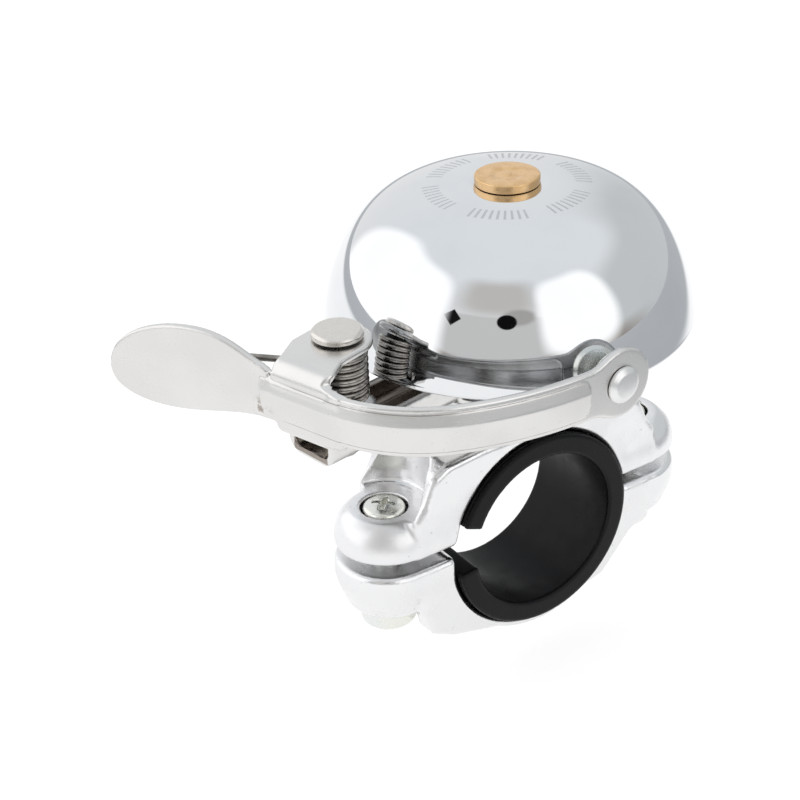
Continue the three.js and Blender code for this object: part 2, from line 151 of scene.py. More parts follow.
def outline_field(points, step=0.1, margin=2.5):
    """Signed distance to a closed outline, read from a fine table of its surroundings."""
    points = np.array(points, float)
    low = points.min(0) - margin
    count = np.ceil((points.max(0) + margin - low) / step).astype(int) + 2
    x = low[0] + step * np.arange(count[0])[:, None]
    y = low[1] + step * np.arange(count[1])[None, :]
    nearest = np.full(count, np.inf)
    inside = np.zeros(count, bool)
    for (x0, y0), (x1, y1) in zip(points, np.roll(points, -1, 0)):
        dx, dy = x1 - x0, y1 - y0
        t = np.clip(((x - x0) * dx + (y - y0) * dy) / max(dx * dx + dy * dy, 1e-12), 0, 1)
        nearest = np.minimum(nearest, np.hypot(x - x0 - t * dx, y - y0 - t * dy))
        if y0 != y1:
            inside ^= ((y0 > y) != (y1 > y)) & (x < dx * (y - y0) / dy + x0)
    table = np.where(inside, -nearest, nearest)

    def look_up(px, py):
        u, v = (px - low[0]) / step, (py - low[1]) / step
        cu, cv = np.clip(u, 0, count[0] - 1.001), np.clip(v, 0, count[1] - 1.001)
        i, j = cu.astype(int), cv.astype(int)
        fu, fv = cu - i, cv - j
        near = table[i, j] * (1 - fu) * (1 - fv) + table[i + 1, j] * fu * (1 - fv)
        far = table[i, j + 1] * (1 - fu) * fv + table[i + 1, j + 1] * fu * fv
        return near + far + np.hypot(u - cu, v - cv) * step

    return look_up


# ---- meshes ---------------------------------------------------------------------------------
def slope(field, points, h=0.01):
    parts = []
    for axis in range(3):
        step = np.zeros(3)
        step[axis] = h
        parts.append((field(*(points + step).T) - field(*(points - step).T)) / (2 * h))
    return np.stack(parts, 1)


def settle(field, points, limit, rounds):
    """Moves points onto the field's surface."""
    for _ in range(rounds):
        gradient = slope(field, points)
        length = np.maximum((gradient ** 2).sum(1), 0.05)
        move = gradient * (field(*points.T) / length)[:, None]
        size = np.linalg.norm(move, axis=1)[:, None]
        points = points - move * np.minimum(1, limit / np.maximum(size, 1e-9))
    return points


def net(field, low, high, step):
    """A quad mesh of the field's surface: one vertex in each grid cell that the surface crosses."""
    count = [int(math.ceil((b - a) / step)) + 1 for a, b in zip(low, high)]
    axes = [a + step * np.arange(n) for a, n in zip(low, count)]
    value = field(*np.meshgrid(*axes, indexing="ij"))
    inside = value < 0
    cells = [n - 1 for n in count]
    offsets = [(i, j, k) for i in (0, 1) for j in (0, 1) for k in (0, 1)]
    filled = np.zeros(cells, np.int8)
    for o in offsets:
        filled += inside[tuple(slice(a, a + n) for a, n in zip(o, cells))]
    cell = np.argwhere((filled > 0) & (filled < 8))
    index = np.full(cells, -1)
    index[tuple(cell.T)] = np.arange(len(cell))
    corner = {o: value[tuple((cell + o).T)] for o in offsets}
    total = np.zeros((len(cell), 3))
    hits = np.zeros(len(cell))
    for axis in range(3):
        for start in (o for o in offsets if o[axis] == 0):
            end = tuple(o + (k == axis) for k, o in enumerate(start))
            a, b = corner[start], corner[end]
            crossed = (a < 0) != (b < 0)
            part = np.tile(np.array(start, float), (len(cell), 1))
            part[:, axis] = np.where(crossed, a / np.where(crossed, a - b, 1), 0)
            total += part * crossed[:, None]
            hits += crossed
    points = np.array(low) + (cell + total / hits[:, None]) * step
    quads = []
    for axis in range(3):
        b, c = (axis + 1) % 3, (axis + 2) % 3
        first = np.delete(inside, -1, axis)
        edge = np.argwhere(first != np.delete(inside, 0, axis))
        within = (edge[:, b] > 0) & (edge[:, b] < count[b] - 1)
        within &= (edge[:, c] > 0) & (edge[:, c] < count[c] - 1)
        edge = edge[within]
        around = []
        for db, dc in ((0, 0), (1, 0), (1, 1), (0, 1)):
            near = edge.copy()
            near[:, b] -= db
            near[:, c] -= dc
            around.append(index[tuple(near.T)])
        quad = np.stack(around, 1)
        outward = first[tuple(edge.T)]
        quads.append(np.where(outward[:, None], quad, quad[:, ::-1]))
    quads = np.concatenate(quads)
    points = settle(field, points, step / 2, 3)
    pairs = np.concatenate([quads[:, [k, (k + 1) % 4]] for k in range(4)])
    for _ in range(3):
        total = np.zeros_like(points)
        number = np.zeros(len(points))
        for a, b in ((0, 1), (1, 0)):
            np.add.at(total, pairs[:, a], points[pairs[:, b]])
            np.add.at(number, pairs[:, a], 1)
        points = settle(field, points + 0.5 * (total / number[:, None] - points), step / 2, 2)
    return points, quads.tolist()


def turn(profile, sides=96, closed=False):
    """A body turned about Z.  An open profile runs up its right-hand side from axis to axis."""
    profile = [tuple(p[:2]) for p in profile]
    points, rows = [], []
    for r, z in profile:
        if r < 1e-6:
            rows.append([len(points)] * sides)
            points.append((0, 0, z))
            continue
        rows.append(list(range(len(points), len(points) + sides)))
        points += [(r * math.cos(2 * math.pi * k / sides), r * math.sin(2 * math.pi * k / sides), z)
                   for k in range(sides)]
    faces = []
    pairs = list(zip(rows, rows[1:] + rows[:1])) if closed else list(zip(rows, rows[1:]))
    for low, high in pairs:
        for k in range(sides):
            n = (k + 1) % sides
            face = list(dict.fromkeys([low[k], low[n], high[n], high[k]]))
            if len(face) > 2:
                faces.append(face)
    return np.array(points, float), faces


def solid_turn(points, sides=96, steps=5):
    """A turned body from [radius, z, corner radius] points that start and end on the axis."""
    past_axis = [(-points[-1][0] - 1, points[-1][1], 0), (-1, points[0][1], 0)]
    closed = filleted(points + past_axis, steps)
    return turn([p for p in closed if p[0] > -1e-6], sides)


def ring_turn(inner, outer, low, high, edge=0.15, sides=96):
    corners = [(inner, low, edge), (outer, low, edge), (outer, high, edge), (inner, high, edge)]
    return turn(filleted(corners, 4), sides, closed=True)


def tube(path, radius, sides=14):
    """A round wire along a path, with rounded ends."""
    path = np.array(path, float)
    tangent = np.gradient(path, axis=0)
    tangent /= np.linalg.norm(tangent, axis=1)[:, None]
    side = np.cross(tangent[0], (0, 0, 1))
    side /= np.linalg.norm(side)
    stations = []
    for centre, along in zip(path, tangent):
        side = side - along * (side @ along)
        side /= np.linalg.norm(side)
        stations.append((centre, along, side, np.cross(along, side)))
    rounds = [math.radians(a) for a in (80, 60, 40, 20)]
    first, last = stations[0], stations[-1]
    rows = [(first[0] - first[1] * radius * math.sin(a), first, math.cos(a)) for a in rounds]
    rows += [(s[0], s, 1) for s in stations]
    rows += [(last[0] + last[1] * radius * math.sin(a), last, math.cos(a))
             for a in reversed(rounds)]
    points = []
    for centre, station, size in rows:
        for k in range(sides):
            angle = 2 * math.pi * k / sides
            spoke = station[2] * math.cos(angle) + station[3] * math.sin(angle)
            points.append(centre + size * radius * spoke)
    faces = [list(range(sides))[::-1]]
    for row in range(len(rows) - 1):
        base, above = row * sides, (row + 1) * sides
        faces += [[base + k, base + (k + 1) % sides, above + (k + 1) % sides, above + k]
                  for k in range(sides)]
    faces.append([(len(rows) - 1) * sides + k for k in range(sides)])
    return np.array(points), faces


def moved(shape, x=0.0, y=0.0, z=0.0, heading=0.0):
    points, faces = shape
    c, s = math.cos(heading), math.sin(heading)
    turned = points @ np.array([[c, s, 0], [-s, c, 0], [0, 0, 1]])
    return turned + (x, y, z), faces


def facing(shape, centre, heading):
    """A shape turned about Z, laid down: its axis points out of a wall with that heading."""
    points, faces = shape
    along = np.array([math.cos(heading), math.sin(heading), 0])
    outward = np.array([math.sin(heading), -math.cos(heading), 0])
    up = np.cross(outward, along)
    return points @ np.stack([along, up, outward]) + centre, faces


def centres_and_normals(shape):
    """The centre and the unit normal of every face of a quad mesh."""
    corners = shape[0][np.array(shape[1])]
    normals = np.cross(corners[:, 2] - corners[:, 0], corners[:, 3] - corners[:, 1])
    return corners.mean(1), normals / np.maximum(np.linalg.norm(normals, axis=1), 1e-9)[:, None]


def add(name, shape, node, material, inner_material=None, inner_faces=None, across=None):
    """A detailed piece that stands for a CAD node.

    It rides on the node's body; when across is given it is fixed in the world on no body, and the
    bodies and places in across are not used.
    Faces picked by the mask take the second material: on the lever and in the bracket channel a
    darker steel that is painted shade, on the gong its grey inside.
    """
    points, faces = shape
    mesh = bpy.data.meshes.new(name)
    mesh.from_pydata((points * MM).tolist(), [], faces)
    mesh.materials.append(material)
    if inner_material:
        mesh.materials.append(inner_material)
        mesh.polygons.foreach_set("material_index", inner_faces.astype(np.int32))
    mesh.validate()
    mesh.shade_smooth()
    piece = bpy.data.objects.new(name, mesh)
    bpy.context.scene.collection.objects.link(piece)
    if across:
        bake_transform(piece)
    else:
        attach(piece, body_of[node])
    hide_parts(node)
    return piece


record = frame["record"]
body_of = {node: body for body, nodes in record["behaviour"]["bodies"].items() for node in nodes}


# ---- materials ------------------------------------------------------------------------------
class Graph:
    """A short way to write a node tree."""

    def new(self, kind, **settings):
        node = self.tree.nodes.new(kind)
        for key, value in settings.items():
            setattr(node, key, value)
        return node

    def link(self, source, target):
        self.tree.links.new(source, target)

    def feed(self, socket, value):
        """Gives a socket a number, a color or another node's output."""
        if isinstance(value, tuple):
            socket.default_value = (*value, 1)
        elif isinstance(value, (int, float)):
            socket.default_value = value
        else:
            self.link(value, socket)

    def math(self, operation, *values):
        node = self.new("ShaderNodeMath", operation=operation)
        for socket, value in zip(node.inputs, values):
            self.feed(socket, value)
        return node.outputs[0]

    def mix(self, factor, a, b):
        node = self.new("ShaderNodeMix", data_type="RGBA")
        self.link(factor, node.inputs["Factor"])
        self.feed(node.inputs[6], a)
        self.feed(node.inputs[7], b)
        return node.outputs[2]

    def ramp(self, value, low, high, at_low=0.0, at_high=1.0):
        node = self.new("ShaderNodeMapRange", interpolation_type="SMOOTHSTEP")
        self.link(value, node.inputs["Value"])
        limits = {"From Min": low, "From Max": high, "To Min": at_low, "To Max": at_high}
        for key, number in limits.items():
            node.inputs[key].default_value = number
        return node.outputs["Result"]


class Nodes(Graph):
    """A procedural material."""

    def __init__(self, name):
        self.material = bpy.data.materials.new(name)
        self.material.use_nodes = True
        self.tree = self.material.node_tree
        self.tree.nodes.clear()
        self.shader = self.new("ShaderNodeBsdfPrincipled")
        output = self.new("ShaderNodeOutputMaterial")
        self.link(self.shader.outputs[0], output.inputs[0])
        self.place = self.new("ShaderNodeTexCoord").outputs["Object"]

    def stretched(self, x, y, z, turn=(0, 0, 0)):
        node = self.new("ShaderNodeMapping")
        self.link(self.place, node.inputs["Vector"])
        node.inputs["Scale"].default_value = (x, y, z)
        node.inputs["Rotation"].default_value = turn
        return node.outputs[0]

    def noise(self, scale, detail=3.0, rough=0.55, vector=None):
        node = self.new("ShaderNodeTexNoise")
        self.link(vector or self.place, node.inputs["Vector"])
        node.inputs["Scale"].default_value = scale
        node.inputs["Detail"].default_value = detail
        node.inputs["Roughness"].default_value = rough
        return node.outputs["Fac"]

    def cells(self, scale, vector=None):
        node = self.new("ShaderNodeTexVoronoi")
        self.link(vector or self.place, node.inputs["Vector"])
        node.inputs["Scale"].default_value = scale
        return node.outputs["Distance"]

    def sum(self, a, b, operation="ADD"):
        return self.math(operation, a, b)

    def bump(self, height, distance, strength=1.0, below=None):
        node = self.new("ShaderNodeBump")
        self.link(height, node.inputs["Height"])
        node.inputs["Distance"].default_value = distance * MM
        node.inputs["Strength"].default_value = strength
        if below is not None:
            self.link(below, node.inputs["Normal"])
        return node.outputs[0]

    def finish(self, color=None, roughness=None, normal=None, **constants):
        for key, value in constants.items():
            self.shader.inputs[key.replace("_", " ")].default_value = value
        if color is not None:
            self.link(color, self.shader.inputs["Base Color"])
        if roughness is not None:
            self.link(roughness, self.shader.inputs["Roughness"])
        if normal is not None:
            self.link(normal, self.shader.inputs["Normal"])
        return self.material


# Marks that are drawn in a material, in millimetres.
TICKS, TICK_GROUPS = 72, 6
TICKS_FROM, TICKS_TO = (9.6, 9.8), (12.2, 12.0)     # radii over which the ring fades in and out
RIB_SHADE_LINES = (33.75, 39.3)          # heights of the painted shade lines along the edges of the rib on the lever's band
# centre of a darker patch at the neck crease
CREASE_DARK_PATCH = (3.9, -43.7, 34.6)


def chrome():
    n = Nodes("mirror_chrome")
    haze = n.ramp(n.noise(90, 4), 0.42, 0.7)
    specks = n.ramp(n.cells(260), 0.035, 0.015)
    split = n.new("ShaderNodeSeparateXYZ")
    n.link(n.place, split.inputs[0])
    turn = n.sum(split.outputs["Y"], split.outputs["X"], "ARCTAN2")
    out = n.sum(n.sum(split.outputs["X"], 2.0, "POWER"), n.sum(split.outputs["Y"], 2.0, "POWER"))
    out = n.sum(out, 0.5, "POWER")
    ticks = n.ramp(n.sum(n.sum(turn, TICKS, "MULTIPLY"), 0.0, "SINE"), 0.35, 0.6)
    groups = n.ramp(n.sum(n.sum(turn, TICK_GROUPS, "MULTIPLY"), 0.0, "SINE"), -0.75, -0.6)
    band = n.sum(*(n.ramp(out, a * MM, b * MM) for a, b in (TICKS_FROM, TICKS_TO)), "MULTIPLY")
    etched = n.sum(n.sum(ticks, groups, "MULTIPLY"), band, "MULTIPLY")
    color = n.mix(haze, (0.765, 0.775, 0.785), (0.735, 0.75, 0.77))
    color = n.mix(etched, color, (0.56, 0.57, 0.59))
    rough = n.sum(n.ramp(n.noise(700, 3), 0.4, 0.75, 0.02, 0.05), n.sum(specks, 0.12, "MULTIPLY"))
    rough = n.sum(rough, n.sum(etched, 0.3, "MULTIPLY"))
    normal = n.bump(n.noise(120, 1), 0.01, 0.25)
    normal = n.bump(n.sum(1.0, etched, "SUBTRACT"), 0.05, 0.6, normal)
    return n.finish(color, rough, normal, Metallic=1.0)


def stainless():
    n = Nodes("satin_stainless")
    scratches = n.noise(1, 3, 0.7, n.stretched(350, 3500, 5200, (0.2, 0.5, 0.4)))
    rubbed = n.noise(1, 2, 0.6, n.stretched(2600, 420, 2600, (0.5, 0.1, 0.9)))
    marks = n.sum(n.ramp(scratches, 0.62, 0.74), n.ramp(rubbed, 0.64, 0.76), "MAXIMUM")
    clouds = n.ramp(n.noise(90, 2), 0.3, 0.75)
    grain = n.noise(6500, 2)
    color = n.mix(clouds, (0.735, 0.725, 0.71), (0.69, 0.68, 0.665))
    brushed = n.noise(1, 2, 0.6, n.stretched(260, 900, 7000, (0, 0.25, 0.3)))
    # A darker patch round the neck crease, broken up by noise.
    from_crease = n.new("ShaderNodeVectorMath", operation="DISTANCE")
    n.link(n.place, from_crease.inputs[0])
    from_crease.inputs[1].default_value = [c * MM for c in CREASE_DARK_PATCH]
    near = n.ramp(from_crease.outputs["Value"], 2.2 * MM, 0.6 * MM)
    crease_darkening = n.sum(near, n.ramp(n.noise(900, 4), 0.48, 0.56), "MULTIPLY")
    split = n.new("ShaderNodeSeparateXYZ")
    n.link(n.place, split.inputs[0])
    # Painted shade: thin dark lines along the rib's upper and lower edges, where its step would be
    # in shadow, kept to the band.
    gaps = [n.sum(n.sum(split.outputs["Z"], z * MM, "SUBTRACT"), 0.0, "ABSOLUTE")
            for z in RIB_SHADE_LINES]
    line = n.sum(*(n.ramp(gap, 0.09 * MM, 0.03 * MM) for gap in gaps), "MAXIMUM")
    line = n.sum(line, n.ramp(split.outputs["X"], 6 * MM, 10 * MM), "MULTIPLY")
    line = n.sum(line, n.ramp(split.outputs["Y"], (EYE_Y - 6) * MM, (EYE_Y - 8) * MM), "MULTIPLY")
    line = n.sum(line, n.ramp(n.noise(500, 2), 0.2, 0.6, 0.3, 0.75), "MULTIPLY")
    color = n.mix(n.sum(marks, 0.16, "MULTIPLY"), color, (0.44, 0.42, 0.40))
    color = n.mix(n.sum(crease_darkening, 0.7, "MULTIPLY"), color, (0.25, 0.20, 0.16))
    color = n.mix(line, color, (0.26, 0.24, 0.22))
    rough = n.sum(n.ramp(clouds, 0, 1, 0.22, 0.3), n.sum(marks, 0.08, "MULTIPLY"))
    height = n.sum(n.sum(grain, brushed), n.sum(marks, 0.4, "MULTIPLY"), "SUBTRACT")
    return n.finish(color, rough, n.bump(height, 0.006, 0.8), Metallic=1.0)


def mill_steel(name, light, dark):
    n = Nodes(name)
    stain = n.ramp(n.noise(160, 2), 0.3, 0.7)
    drawn = n.noise(1, 2, 0.5, n.stretched(300, 300, 3200))
    rough = n.ramp(drawn, 0.3, 0.7, 0.18, 0.26)
    return n.finish(n.mix(stain, light, dark), rough, n.bump(drawn, 0.005, 0.4), Metallic=1.0)


def rivet_steel():
    n = Nodes("tumbled_rivet_steel")
    wear = n.ramp(n.noise(380, 3), 0.35, 0.7)
    color = n.mix(wear, (0.80, 0.80, 0.795), (0.73, 0.73, 0.725))
    rough = n.ramp(wear, 0, 1, 0.3, 0.4)
    return n.finish(color, rough, n.bump(n.noise(2400, 3), 0.012, 0.6), Metallic=1.0)


def nickel():
    n = Nodes("nickel_plate")
    rub = n.ramp(n.noise(1, 2, 0.5, n.stretched(5200, 900, 900, (0, 0, 0.6))), 0.35, 0.8)
    color = n.mix(rub, (0.72, 0.69, 0.65), (0.67, 0.64, 0.605))
    rough = n.ramp(rub, 0, 1, 0.24, 0.32)
    return n.finish(color, rough, n.bump(n.sum(rub, n.noise(4200, 2)), 0.005, 0.5), Metallic=1.0)


def spring_steel():
    n = Nodes("drawn_spring_wire")
    draw = n.noise(2600, 2)
    stain = n.ramp(n.noise(500, 3), 0.35, 0.7)
    color = n.mix(stain, (0.36, 0.34, 0.315), (0.22, 0.205, 0.19))
    rough = n.ramp(draw, 0.3, 0.7, 0.14, 0.24)
    return n.finish(color, rough, n.bump(draw, 0.004, 0.4), Metallic=1.0)


def cast_aluminium():
    n = Nodes("polished_casting")
    pits = n.ramp(n.cells(700), 0.16, 0.05)
    here = n.ramp(n.noise(240, 3), 0.50, 0.62)
    pits = n.sum(pits, here, "MULTIPLY")
    waves = n.noise(170, 2)
    color = n.mix(pits, (0.815, 0.815, 0.82), (0.66, 0.66, 0.665))
    dull = n.ramp(n.noise(110, 3), 0.4, 0.62)
    rough = n.sum(n.ramp(n.noise(420, 3), 0.35, 0.7, 0.13, 0.2), n.sum(pits, 0.25, "MULTIPLY"))
    rough = n.sum(rough, n.sum(dull, 0.2, "MULTIPLY"))
    normal = n.bump(waves, 0.12, 0.6)
    normal = n.bump(n.noise(2200, 4, 0.65), 0.03, 0.9, normal)
    normal = n.bump(n.sum(1.0, pits, "SUBTRACT"), 0.03, 0.5, normal)
    return n.finish(color, rough, normal, Metallic=1.0)


def zinc():
    n = Nodes("bright_zinc")
    tint = n.ramp(n.noise(260, 2), 0.35, 0.7)
    color = n.mix(tint, (0.81, 0.81, 0.75), (0.76, 0.785, 0.775))
    rough = n.ramp(n.noise(1800, 3), 0.35, 0.7, 0.2, 0.36)
    return n.finish(color, rough, n.bump(n.noise(2600, 2), 0.012, 0.6), Metallic=1.0)


def brass():
    n = Nodes("turned_brass")
    rings = n.new("ShaderNodeTexWave", wave_type="RINGS", rings_direction="Z", wave_profile="SIN")
    n.link(n.place, rings.inputs["Vector"])
    rings.inputs["Scale"].default_value = 900
    rings.inputs["Distortion"].default_value = 0.6
    rings.inputs["Detail"].default_value = 2
    turned = rings.outputs["Fac"]
    wear = n.ramp(n.noise(600, 3), 0.4, 0.7)
    color = n.mix(wear, (0.82, 0.55, 0.29), (0.72, 0.46, 0.22))
    rough = n.ramp(turned, 0, 1, 0.2, 0.32)
    return n.finish(color, rough, n.bump(turned, 0.012, 0.6), Metallic=1.0)


def black_plastic():
    n = Nodes("moulded_black_plastic")
    scuffs = n.ramp(n.noise(1, 4, 0.7, n.stretched(240, 2600, 2600, (0.3, 0, 0.1))), 0.62, 0.74)
    scuffs = n.sum(scuffs, n.ramp(n.noise(180, 2), 0.45, 0.62), "MULTIPLY")
    grain = n.noise(3800, 2)
    color = n.mix(n.sum(scuffs, 0.6, "MULTIPLY"), (0.004, 0.0042, 0.005), (0.035, 0.036, 0.040))
    rough = n.sum(n.ramp(n.noise(320, 3), 0.35, 0.7, 0.27, 0.4), n.sum(scuffs, 0.15, "MULTIPLY"))
    return n.finish(color, rough, n.bump(grain, 0.015, 0.6), Specular_IOR_Level=0.14)


def fibre():
    n = Nodes("pressed_fibre")
    strands = n.noise(1, 4, 0.7, n.stretched(1200, 1200, 5000))
    color = n.mix(strands, (0.10, 0.07, 0.05), (0.24, 0.17, 0.11))
    return n.finish(color, n.ramp(strands, 0, 1, 0.7, 0.9), n.bump(strands, 0.05, 0.8))


CHROME, STAINLESS, NICKEL, SPRING = chrome(), stainless(), nickel(), spring_steel()
# Brown steel for inside the bracket channel: partly brown heat stain, partly painted shade.
BROWN_STAIN_AND_SHADE = mill_steel("brown_stain_and_painted_shade", (0.34, 0.30, 0.27), (0.22, 0.195, 0.175))
# Grey steel for the gong's inside; on the lever's inner faces the same darker steel is painted
# shade.
GREY_STEEL_AND_SHADE = mill_steel("grey_steel_and_painted_shade", (0.46, 0.46, 0.46), (0.34, 0.34, 0.34))
RIVET_STEEL = rivet_steel()
CAST, ZINC, BRASS, PLASTIC, FIBRE = cast_aluminium(), zinc(), brass(), black_plastic(), fibre()

# ---- clamp castings -------------------------------------------------------------------------
EAR_Y = 22.8
EAR_LAND_Z = 9.1
SPLIT_TOP_Z = clamp_low[2]
saddle_side = [(22.6, SPLIT_TOP_Z, 0.4), (22.8, 9.4, 0.5), (21.2, 11.6, 2), (19.4, 15.7, 2.2),
               (16.8, 17.2, 2.5), (10.5, 17.8, 3)]
other_side = [(-y, z, corner) for y, z, corner in reversed(saddle_side)]
saddle_section = outline_field(filleted(saddle_side + other_side))
PEDESTAL_RADIUS, PEDESTAL_TOP_Z = 7.8, 25.3
SCOOP_RADIUS, COUNTERBORE_RADIUS = 6.9, 3.6


def ear_plan(x, y, radius=CLAMP_HALF):
    """Distance to the plan of a flat strip with two round ends, the ears."""
    return np.hypot(x, np.maximum(np.abs(y) - EAR_Y, 0)) - radius


def upper_casting(x, y, z):
    ears = both(ear_plan(x, y), z - EAR_LAND_Z - 0.55, 5.2)
    ears = both(ears, SPLIT_TOP_Z - z, 0.8)
    saddle = both(saddle_section(y, z), np.abs(x) - CLAMP_HALF, 1.1)
    body = merged(ears, saddle, 1.0)
    pedestal = both(np.hypot(x, y) - PEDESTAL_RADIUS, between(z, 15, PEDESTAL_TOP_Z), 0.5)
    body = merged(body, pedestal, 1.5)
    to_screw = np.hypot(x, np.abs(y) - SCREW_Y)
    scoop = both(to_screw - SCOOP_RADIUS, EAR_LAND_Z - 0.1 - z, 0.6)
    body = carved(body, scoop, 0.2)
    body = carved(body, both(to_screw - COUNTERBORE_RADIUS, 5.2 - z), 0.25)
    body = carved(body, to_screw - SCREW_HOLE, 0.2)
    body = carved(body, np.hypot(y, z) - SHIM_RADIUS - GAP, 0.8)
    to_bolt = np.hypot(x, y)
    bolt_pocket = np.minimum(both(to_bolt - 4.2, between(z, 10, 19.5)), to_bolt - BOLT_HOLE)
    return carved(body, bolt_pocket, 0.2)


SPLIT_BOTTOM_Z = cad("clamp_lower")[1][2]
EAR_BOTTOM_Z = -7.6
WEB_RADIUS = 17.6
web_profile = [(-22, SPLIT_BOTTOM_Z, 0), (-22, -7.0, 0), (-21.2, -8.4, 1), (-20.2, -11.6, 1),
               (-16.4, -13.5, 2)]
web_profile += [(WEB_RADIUS * math.cos(a), WEB_RADIUS * math.sin(a), 0)
                for a in map(math.radians, range(-118, -52, 6))]
web_profile += [(12.7, -14.2, 2), (18.6, -8.0, 2), (22, -7.0, 0), (22, SPLIT_BOTTOM_Z, 0)]
web_section = outline_field(filleted(web_profile))


def lower_casting(x, y, z):
    depth = np.clip((SPLIT_BOTTOM_Z - z) / (SPLIT_BOTTOM_Z - EAR_BOTTOM_Z), 0, 1.2)
    taper = CLAMP_HALF + 0.35 * np.sin(np.pi * np.minimum(depth * 1.4, 1)) - 1.7 * depth ** 2
    ears = both(ear_plan(x, y, taper) * 0.95, EAR_BOTTOM_Z - z, 1.3)
    ears = both(ears, z - SPLIT_BOTTOM_Z, 0.8)
    web = both(web_section(y, z), np.abs(x) - CLAMP_HALF, 1.2)
    web = both(web, z - SPLIT_BOTTOM_Z, 0.6)
    body = merged(ears, web, 0.5)
    to_screw = np.hypot(x, np.abs(y) - SCREW_Y)
    body = carved(body, to_screw - SCREW_HOLE, 0.2)
    body = carved(body, both(to_screw - 4.8, z - EAR_BOTTOM_Z), 0.2)
    return carved(body, np.hypot(y, z) - SHIM_RADIUS - GAP, 0.8)


upper_clamp = net(upper_casting, (-8.7, -31.8, 2.6), (8.7, 31.8, 26), CELL)
lower_clamp = net(lower_casting, (-9.3, -32.2, -18.4), (9.3, 32.2, 1.7), CELL)
add("upper_clamp_casting", upper_clamp, "clamp_upper", CAST)
add("lower_clamp_casting", lower_clamp, "clamp_lower", CAST)

# ---- handlebar shim -------------------------------------------------------------------------
SPLIT_FROM, SPLIT_TO = math.radians(158), math.radians(188)


def shim_body(x, y, z):
    radius = np.hypot(y, z)
    wall = both(between(radius, BAR_RADIUS, SHIM_RADIUS), np.abs(x) - shim_high[0], 0.35)
    middle = (SPLIT_FROM + SPLIT_TO) / 2
    along = y * math.cos(middle) + z * math.sin(middle)
    across = np.abs(-y * math.sin(middle) + z * math.cos(middle))
    half = (SPLIT_TO - SPLIT_FROM) / 2
    wedge = np.where(along > 0, across * math.cos(half) - along * math.sin(half), radius)
    wall = both(wall, -wedge, 0.3)
    seam = between(radius, SHIM_RADIUS - 0.35, SHIM_RADIUS + 1)
    seam = both(seam, np.abs(np.abs(x) - CLAMP_HALF) - 0.12)
    return carved(wall, seam, 0.1)


shim = net(shim_body, (-9.4, -16.5, -16.5), (9.4, 16.5, 16.5), CELL)
add("split_shim", shim, "handlebar_shim", PLASTIC)


# ---- screws, washers and nuts ---------------------------------------------------------------
SCREW_HEAD_RADIUS = 3.25
THREAD_PITCH, THREAD_DEPTH = 0.7, 0.12


def screw_body(x, y, z):
    radius = np.hypot(x, y)
    thread = THREAD_DEPTH * np.sin(2 * np.pi * z / THREAD_PITCH - np.arctan2(y, x))
    shank = both(radius - 1.88 - np.where(z < 4.5, thread, 0), between(z, screw_low[2], 7.2), 0.2)
    dome = np.sqrt(x ** 2 + y ** 2 + (z - 2.85) ** 2) - 6.9
    head = both(both(radius - SCREW_HEAD_RADIUS, 6.5 - z, 0.2), dome, 0.5)
    slots = [both(np.abs(a) - 1.75, np.abs(b) - 0.36) for a, b in ((x, y), (y, x))]
    recess = both(np.minimum(np.minimum(*slots), radius - 0.75), 8.45 - z)
    return carved(np.minimum(shank, head), recess, 0.18)


def split_washer(x, y, z):
    radius = np.hypot(x, y)
    lift = 0.12 * np.arctan2(y, x) / np.pi
    body = both(between(radius, SCREW_HOLE, 3.1), between(z - lift, 5.6, 6.15), 0.15)
    return carved(body, both(np.abs(y) - 0.25, -x), 0.1)


screw = net(screw_body, (-3.6, -3.6, screw_low[2] - 0.4), (3.6, 3.6, 10.2), 0.13)
washer = net(split_washer, (-3.5, -3.5, 5.2), (3.5, 3.5, 6.6), 0.12)
domed_nut = solid_turn([
    (0, cap_low[2], 0), (2.4, cap_low[2] + 0.1, 1.6), (4.2, cap_low[2] + 1.3, 1.2),
    (4.5, cap_high[2], 0.25), (0, cap_high[2], 0)])
for side, y, heading in (("near", -SCREW_Y, 0.75), ("far", SCREW_Y, 0.2)):
    add(f"{side}_clamp_screw", moved(screw, y=y, heading=heading), f"clamp_screw_{side}", ZINC)
    add(f"{side}_split_washer", moved(washer, y=y, heading=heading),
        f"screw_spring_washer_{side}", ZINC)
    add(f"{side}_domed_nut", moved(domed_nut, y=y), f"clamp_cap_nut_{side}", ZINC)

# ---- base bracket and the stack on the centre bolt ------------------------------------------
BASE_Z = 25.6
BASE_DISC_RADIUS = 15
ARM_HEADING = math.atan2(PIVOT[1], PIVOT[0])
PIVOT_REACH = float(np.hypot(*PIVOT))
FLANGE_HALF = 4.5
FLANGE_BEND = 2.3
FLANGE_TOP_Z = cad("base_bracket")[1][2]


